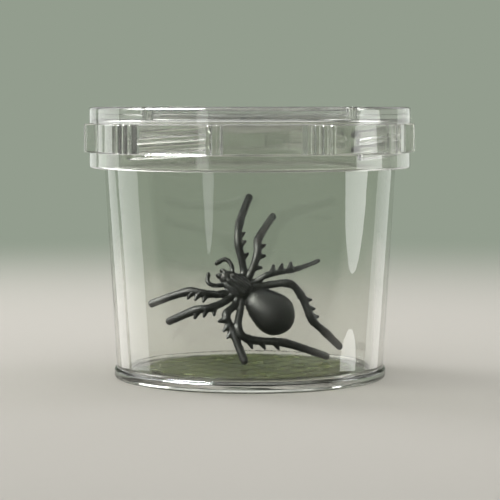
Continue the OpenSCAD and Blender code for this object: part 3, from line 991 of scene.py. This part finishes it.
def abdomen(s):
    """The egg-shaped abdomen, fuller behind its middle and drawn in at the waist."""
    half = s.abdomen * EGG_HALF_SHARE
    middle = -s.thorax * WAIST_SHARE - s.abdomen * EGG_MIDDLE_SHARE
    egg = ball((middle, 0, 0), (half, s.abdomen_w / 2, s.abdomen_w * EGG_HEIGHT_SHARE), rings=40)
    for vertex in egg.data.vertices:
        share = (vertex.co.x - (middle - half)) / (2 * half)
        swell = math.sin(math.pi * min(1, share * EGG_SWELL_PACE)) * (1 - 2 * share)
        fuller = 1 + EGG_SWELL_SHARE * swell - EGG_PINCH_SHARE * share**3
        vertex.co.y *= fuller
        vertex.co.z *= fuller
    return egg


def on_body(s, shares, side=1):
    """A place or half sizes on the front body, from shares along, across and up."""
    along, across, up = shares
    return Vector((s.thorax * along, side * s.thorax_w * across, s.thorax_w * up))


def front_body(s):
    """The front body and the head, and on each side a ridge on the back, a palp, a jaw and two eyes."""
    parts = [ball(on_body(s, place), on_body(s, half)) for place, half in (THORAX_SHARES, HEAD_SHARES)]
    for side in (-1, 1):
        line = [on_body(s, shares, side) for shares in BACK_RIDGE_SHARES]
        parts.append(limb("back_ridge", smooth_line(line, steps=4), *BACK_RIDGE_RADII))
        palp = [s.thorax * Vector((x, side * y, z)) for x, y, z in PALP_SHARES]
        line = smooth_line(palp, steps=6)
        parts.append(limb("palp", line, s.leg_r * PALP_R_SHARE, s.tip_r * PALP_R_SHARE))
        parts.append(ball(on_body(s, JAW_SHARES, side), JAW_HALF_SIZES, rings=12))
        parts += [ball(on_body(s, shares, side), (EYE_R, EYE_R, EYE_R), rings=8) for shares in EYE_SHARES]
    return parts


def spider_parts(s):
    """The parts that the spider is fused from, lying flat with its head towards +X."""
    parts = [abdomen(s), *front_body(s)]
    for part in parts:
        part.data.transform(Matrix.Rotation(BODY_TURN, 4, "Z"))
    for i, leg in enumerate(LEGS):
        points = leg_points(s, i)
        joints = [LEG_STEPS * k for k in range(2, len(points) - 1)]
        parts.append(limb("leg", smooth_line(points, LEG_STEPS), s.leg_r, s.tip_r * leg.tip_share, joints))
        parts += barbs(s, leg, smooth_line(points, BARB_STEPS))
    return parts


class BUGJAR_OT_spider(bpy.types.Operator):
    """Fuse the spider from limbs, barbs and round parts, as one moulding, and lean it against the wall"""

    bl_idname = "bugjar.spider"
    bl_label = "Rubber spider"

    def execute(self, context):
        s = context.scene.bugjar_spider
        spider = joined("rubber_spider", spider_parts(s))
        modified(spider, "REMESH", mode="VOXEL", voxel_size=s.voxel)
        modified(spider, "SMOOTH", factor=0.5, iterations=3)
        pose = Matrix.Rotation(YAW, 4, "Z") @ Matrix.Rotation(LEAN, 4, "X") @ Matrix.Rotation(HEADING, 4, "Z")
        tips = [pose @ leg_points(s, i)[-1] for i in range(len(LEGS))]
        rise = s.foot_z + s.tip_r - min(tip.z for tip in tips)
        place = Matrix.Translation((s.leg * PLACE_SHARES[0], s.leg * PLACE_SHARES[1], rise))
        spider.data.transform(place @ pose)
        rubber = moulded_rubber(context.scene.bugjar_finishes)
        finished(spider, "toy_spider", rubber, smooth_degrees=80)
        return {"FINISHED"}


# The studio

# Soft lamps: name, place, width and height, power in watts, and whether reflections show the lamp
LAMPS = [
    ("lamp_left", (-0.40, 0.26, 0.29), (0.24, 0.30), 1.5, False),
    ("lamp_right", (0.46, 0.16, 0.29), (0.20, 0.30), 0.8, False),
    ("lamp_top", (-0.05, -0.02, 0.72), (1.1, 1.1), 3.2, True),
]
# The lamp whose reflection gives rubber and plastic their sheen, and which lights nothing
SHEEN = ("lamp_sheen", (-0.22, -0.13, 0.20), (0.22, 0.14), 13)
# Strip lights: name, the two ends in x and y, lowest and highest point, radiance, outline
STRIPS = [
    ("strip_left", (-0.0380, -0.0055), (-0.0367, -0.0180), 0, 0.075, 1.75, "RECTANGLE"),
    ("strip_edge", (-0.0355, 0.0040), (-0.0385, -0.0028), 0, 0.075, 0.9, "RECTANGLE"),
    ("strip_right", (0.138, -0.046), (0.136, 0.013), 0.004, 0.066, 2.7, "ELLIPSE"),
    ("strip_side", (0.0383, -0.0085), (0.0362, 0.0032), 0, 0.075, 0.9, "RECTANGLE"),
    ("strip_low", (0.0338, -0.0237), (0.0368, -0.0150), -0.009, 0.009, 2.7, "ELLIPSE"),
    ("strip_faint", (-0.0758, -0.1157), (-0.0591, -0.1257), 0.007, 0.064, 1.5, "ELLIPSE"),
]
LAMP_AIM = Vector((0, 0, 30 * MM))
FADE_START, FADE_END = 100 * MM, 450 * MM  # distances over which the floor turns into the background
PAINTED_SHADE_START, PAINTED_SHADE_FULL = -32 * MM, -60 * MM  # places in y between which the painted shade of the card sets in
BACK_END, ROOM_START = 0.08, 0.26  # upright parts of a direction, between background and room


def seen_directly(tree):
    """1 for rays from the camera, off gloss and through clear plastic, and 0 for rays that only light."""
    path = add(tree, "ShaderNodeLightPath")
    seen = path.outputs["Is Camera Ray"]
    for kind in ("Is Glossy Ray", "Is Transmission Ray"):
        either = add(tree, "ShaderNodeMath", None, {0: seen, 1: path.outputs[kind]}, operation="MAXIMUM")
        seen = either.outputs["Value"]
    return seen


def studio_paper(tones):
    """Matt pale paper, lit near the jar, that runs into the far background with no edge. Rays that gloss
    has mirrored see painted shade on it before the jar, a dark emitted tone in place of a dark card, which
    keeps the jar's wall clear of haze."""
    fibre_w, fibre_h = 2 * MM, 0.05 * MM
    material, tree = new_material("paper_matt_pale")
    place = add(tree, "ShaderNodeTexCoord").outputs["Object"]
    fibre = add(tree, "ShaderNodeTexNoise", {"Scale": 1 / fibre_w, "Detail": 3.0}, {"Vector": place})
    bump = add(
        tree, "ShaderNodeBump", {"Strength": 0.1, "Distance": fibre_h}, {"Height": fibre.outputs["Fac"]}
    )
    paper = add(
        tree,
        "ShaderNodeBsdfPrincipled",
        {"Base Color": linear(tones.ground), "Roughness": 0.8, "Specular IOR Level": 0.0},
        {"Normal": bump.outputs["Normal"]},
    )
    far = add(tree, "ShaderNodeEmission", {"Color": linear(tones.back), "Strength": 1.0})
    reach = add(tree, "ShaderNodeVectorMath", None, {0: place}, operation="LENGTH")
    fade = add(
        tree,
        "ShaderNodeMapRange",
        {"From Min": FADE_START, "From Max": FADE_END},
        {"Value": reach.outputs["Value"]},
        interpolation_type="SMOOTHSTEP",
    )
    far_share = add(
        tree,
        "ShaderNodeMath",
        None,
        {0: fade.outputs["Result"], 1: seen_directly(tree)},
        operation="MULTIPLY",
    )
    faded = add(
        tree,
        "ShaderNodeMixShader",
        None,
        {0: far_share.outputs["Value"], 1: paper.outputs["BSDF"], 2: far.outputs["Emission"]},
    )
    # Painted shade: before the jar the floor emits a dark tone for rays that gloss has mirrored, in place of
    # a dark card
    painted_shade_card = add(tree, "ShaderNodeEmission", {"Color": linear(tones.painted_shade_card), "Strength": 1.0})
    axes = add(tree, "ShaderNodeSeparateXYZ", None, {"Vector": place})
    before = add(
        tree,
        "ShaderNodeMapRange",
        {"From Min": PAINTED_SHADE_START, "From Max": PAINTED_SHADE_FULL},
        {"Value": axes.outputs["Y"]},
        interpolation_type="SMOOTHSTEP",
    )
    bounces = add(tree, "ShaderNodeLightPath").outputs["Glossy Depth"]
    mirrored = add(tree, "ShaderNodeMath", {1: 1.0}, {0: bounces}, operation="MINIMUM")
    painted_shade_share = add(
        tree,
        "ShaderNodeMath",
        None,
        {0: before.outputs["Result"], 1: mirrored.outputs["Value"]},
        operation="MULTIPLY",
    )
    whole = add(
        tree,
        "ShaderNodeMixShader",
        None,
        {0: painted_shade_share.outputs["Value"], 1: faded.outputs["Shader"], 2: painted_shade_card.outputs["Emission"]},
    )
    add(tree, "ShaderNodeOutputMaterial", None, {"Surface": whole.outputs["Shader"]})
    return material


def softbox(name, place, size, power, mirrored=True):
    """A rectangular studio lamp that faces the jar, out of the camera's sight."""
    deselect()
    bpy.ops.object.light_add(type="AREA", location=place)
    lamp = bpy.context.object
    lamp.name = lamp.data.name = name
    lamp.data.shape = "RECTANGLE"
    lamp.data.size, lamp.data.size_y = size
    lamp.data.energy = power
    lamp.rotation_euler = (LAMP_AIM - Vector(place)).to_track_quat("-Z", "Y").to_euler()
    lamp.visible_camera = False
    lamp.visible_glossy = mirrored
    return lamp


def for_reflections(lamp):
    """Lets a lamp show as a reflection alone, with none of its light on matt surfaces."""
    lamp.visible_diffuse = lamp.visible_transmission = False
    lamp.data.use_nodes = True
    tree = lamp.data.node_tree
    tree.nodes.clear()
    # The depth is 0 until a matt surface has sent the ray on
    matt_depth = add(tree, "ShaderNodeLightPath").outputs["Diffuse Depth"]
    direct = add(tree, "ShaderNodeMath", {1: 0.5}, {0: matt_depth}, operation="LESS_THAN")
    glow = add(tree, "ShaderNodeEmission", None, {"Strength": direct.outputs["Value"]})
    add(tree, "ShaderNodeOutputLight", None, {"Surface": glow.outputs["Emission"]})


def strip(name, first, last, low, high, radiance, shape):
    """A strip light that stands beside the jar from one spot to another, seen only as a reflection in it."""
    first, last = Vector(first), Vector(last)
    middle = ((first + last) / 2).to_3d()
    middle.z = (low + high) / 2
    width, height = (last - first).length, high - low
    lamp = softbox(name, middle, (width, height), radiance * math.pi * width * height)
    # An area lamp shines along its own -Z, which has to point at the jar's axis
    across = (last - first).normalized().to_3d()
    away = across.cross(Vector((0, 0, 1)))
    if away.dot(middle) < 0:
        across, away = -across, -away
    lamp.rotation_euler = Matrix((across, (0, 0, 1), away)).transposed().to_euler()
    lamp.data.shape = shape
    for_reflections(lamp)


def surroundings(tones, strength):
    """A world that lights evenly, and is seen as the background with a darker room above it."""
    world = bpy.data.worlds.new("studio_surroundings")
    world.use_nodes = True
    tree = world.node_tree
    tree.nodes.clear()
    light = add(tree, "ShaderNodeBackground", {"Color": linear("#FFFFFF"), "Strength": strength})
    way = add(tree, "ShaderNodeTexCoord").outputs["Generated"]
    axes = add(tree, "ShaderNodeSeparateXYZ", None, {"Vector": way})
    rise = add(
        tree,
        "ShaderNodeMapRange",
        {"From Min": BACK_END, "From Max": ROOM_START},
        {"Value": axes.outputs["Z"]},
        interpolation_type="SMOOTHSTEP",
    )
    tone = add(
        tree,
        "ShaderNodeMix",
        {"A": linear(tones.back), "B": linear(tones.room)},
        {"Factor": rise.outputs["Result"]},
        data_type="RGBA",
    )
    back = add(tree, "ShaderNodeBackground", {"Strength": 1.0}, {"Color": tone.outputs[2]})
    mix = add(
        tree,
        "ShaderNodeMixShader",
        None,
        {0: seen_directly(tree), 1: light.outputs["Background"], 2: back.outputs["Background"]},
    )
    add(tree, "ShaderNodeOutputWorld", None, {"Surface": mix.outputs["Shader"]})
    return world


def camera(s):
    """The camera, in front of the jar and about level with its top."""
    deselect()
    place = Vector((0, -s.camera_distance, s.camera_height))
    aim = Vector((0, 0, s.aim_z)) - place
    bpy.ops.object.camera_add(location=place, rotation=aim.to_track_quat("-Z", "Y").to_euler())
    made = bpy.context.object
    made.data.sensor_width = 36
    made.data.lens = s.lens_mm
    made.data.clip_start = 0.01
    return made


class BUGJAR_OT_studio(bpy.types.Operator):
    """Set up the pale floor, the soft lamps and the camera at the photograph's viewing angle"""

    bl_idname = "bugjar.studio"
    bl_label = "Studio"

    def execute(self, context):
        s, tones = context.scene.bugjar_studio, context.scene.bugjar_finishes
        deselect()
        bpy.ops.mesh.primitive_circle_add(vertices=96, radius=s.floor_r, fill_type="NGON", location=(0, 0, 0))
        floor = bpy.context.object
        floor.name = floor.data.name = "studio_floor"
        floor.data.materials.append(studio_paper(tones))
        for lamp in LAMPS:
            softbox(*lamp)
        for_reflections(softbox(*SHEEN))
        for lamp in STRIPS:
            strip(*lamp)
        context.scene.world = surroundings(tones, s.light)
        context.scene.camera = camera(s)
        context.scene.view_settings.view_transform = "Standard"
        return {"FINISHED"}


# The add-on

STEPS = (BUGJAR_OT_jar, BUGJAR_OT_lid, BUGJAR_OT_lens, BUGJAR_OT_grid, BUGJAR_OT_spider, BUGJAR_OT_studio)
GROUPS = {
    "bugjar_jar": JarSizes,
    "bugjar_lid": LidSizes,
    "bugjar_thread": ThreadSizes,
    "bugjar_lens": LensSizes,
    "bugjar_grid": GridSizes,
    "bugjar_spider": SpiderSizes,
    "bugjar_studio": StudioSizes,
    "bugjar_finishes": Finishes,
}


class BUGJAR_PT_panel(bpy.types.Panel):
    """Buttons and sizes of the jar"""

    bl_idname = "BUGJAR_PT_panel"
    bl_label = "Bug Jar"
    bl_space_type = "VIEW_3D"
    bl_region_type = "UI"
    bl_category = "Bug Jar"

    def draw(self, context):
        for step in STEPS:
            self.layout.operator(step.bl_idname)
        for key, group in GROUPS.items():
            box = self.layout.box()
            box.label(text=group.__doc__)
            for name in group.__annotations__:
                box.prop(getattr(context.scene, key), name)


def register():
    """Registers the groups, the operators and the panel."""
    for group in (*GROUPS.values(), *STEPS, BUGJAR_PT_panel):
        bpy.utils.register_class(group)
    for key, group in GROUPS.items():
        setattr(bpy.types.Scene, key, PointerProperty(type=group))


def unregister():
    """Removes the panel, the operators and the groups again."""
    for key in GROUPS:
        delattr(bpy.types.Scene, key)
    for group in reversed((*GROUPS.values(), *STEPS, BUGJAR_PT_panel)):
        bpy.utils.unregister_class(group)


def main():
    """Makes every piece and the studio."""
    register()
    bpy.ops.bugjar.jar()
    bpy.ops.bugjar.lid()
    bpy.ops.bugjar.lens()
    bpy.ops.bugjar.grid()
    bpy.ops.bugjar.spider()
    bpy.ops.bugjar.studio()
    deselect()


if __name__ == "__main__":
    main()
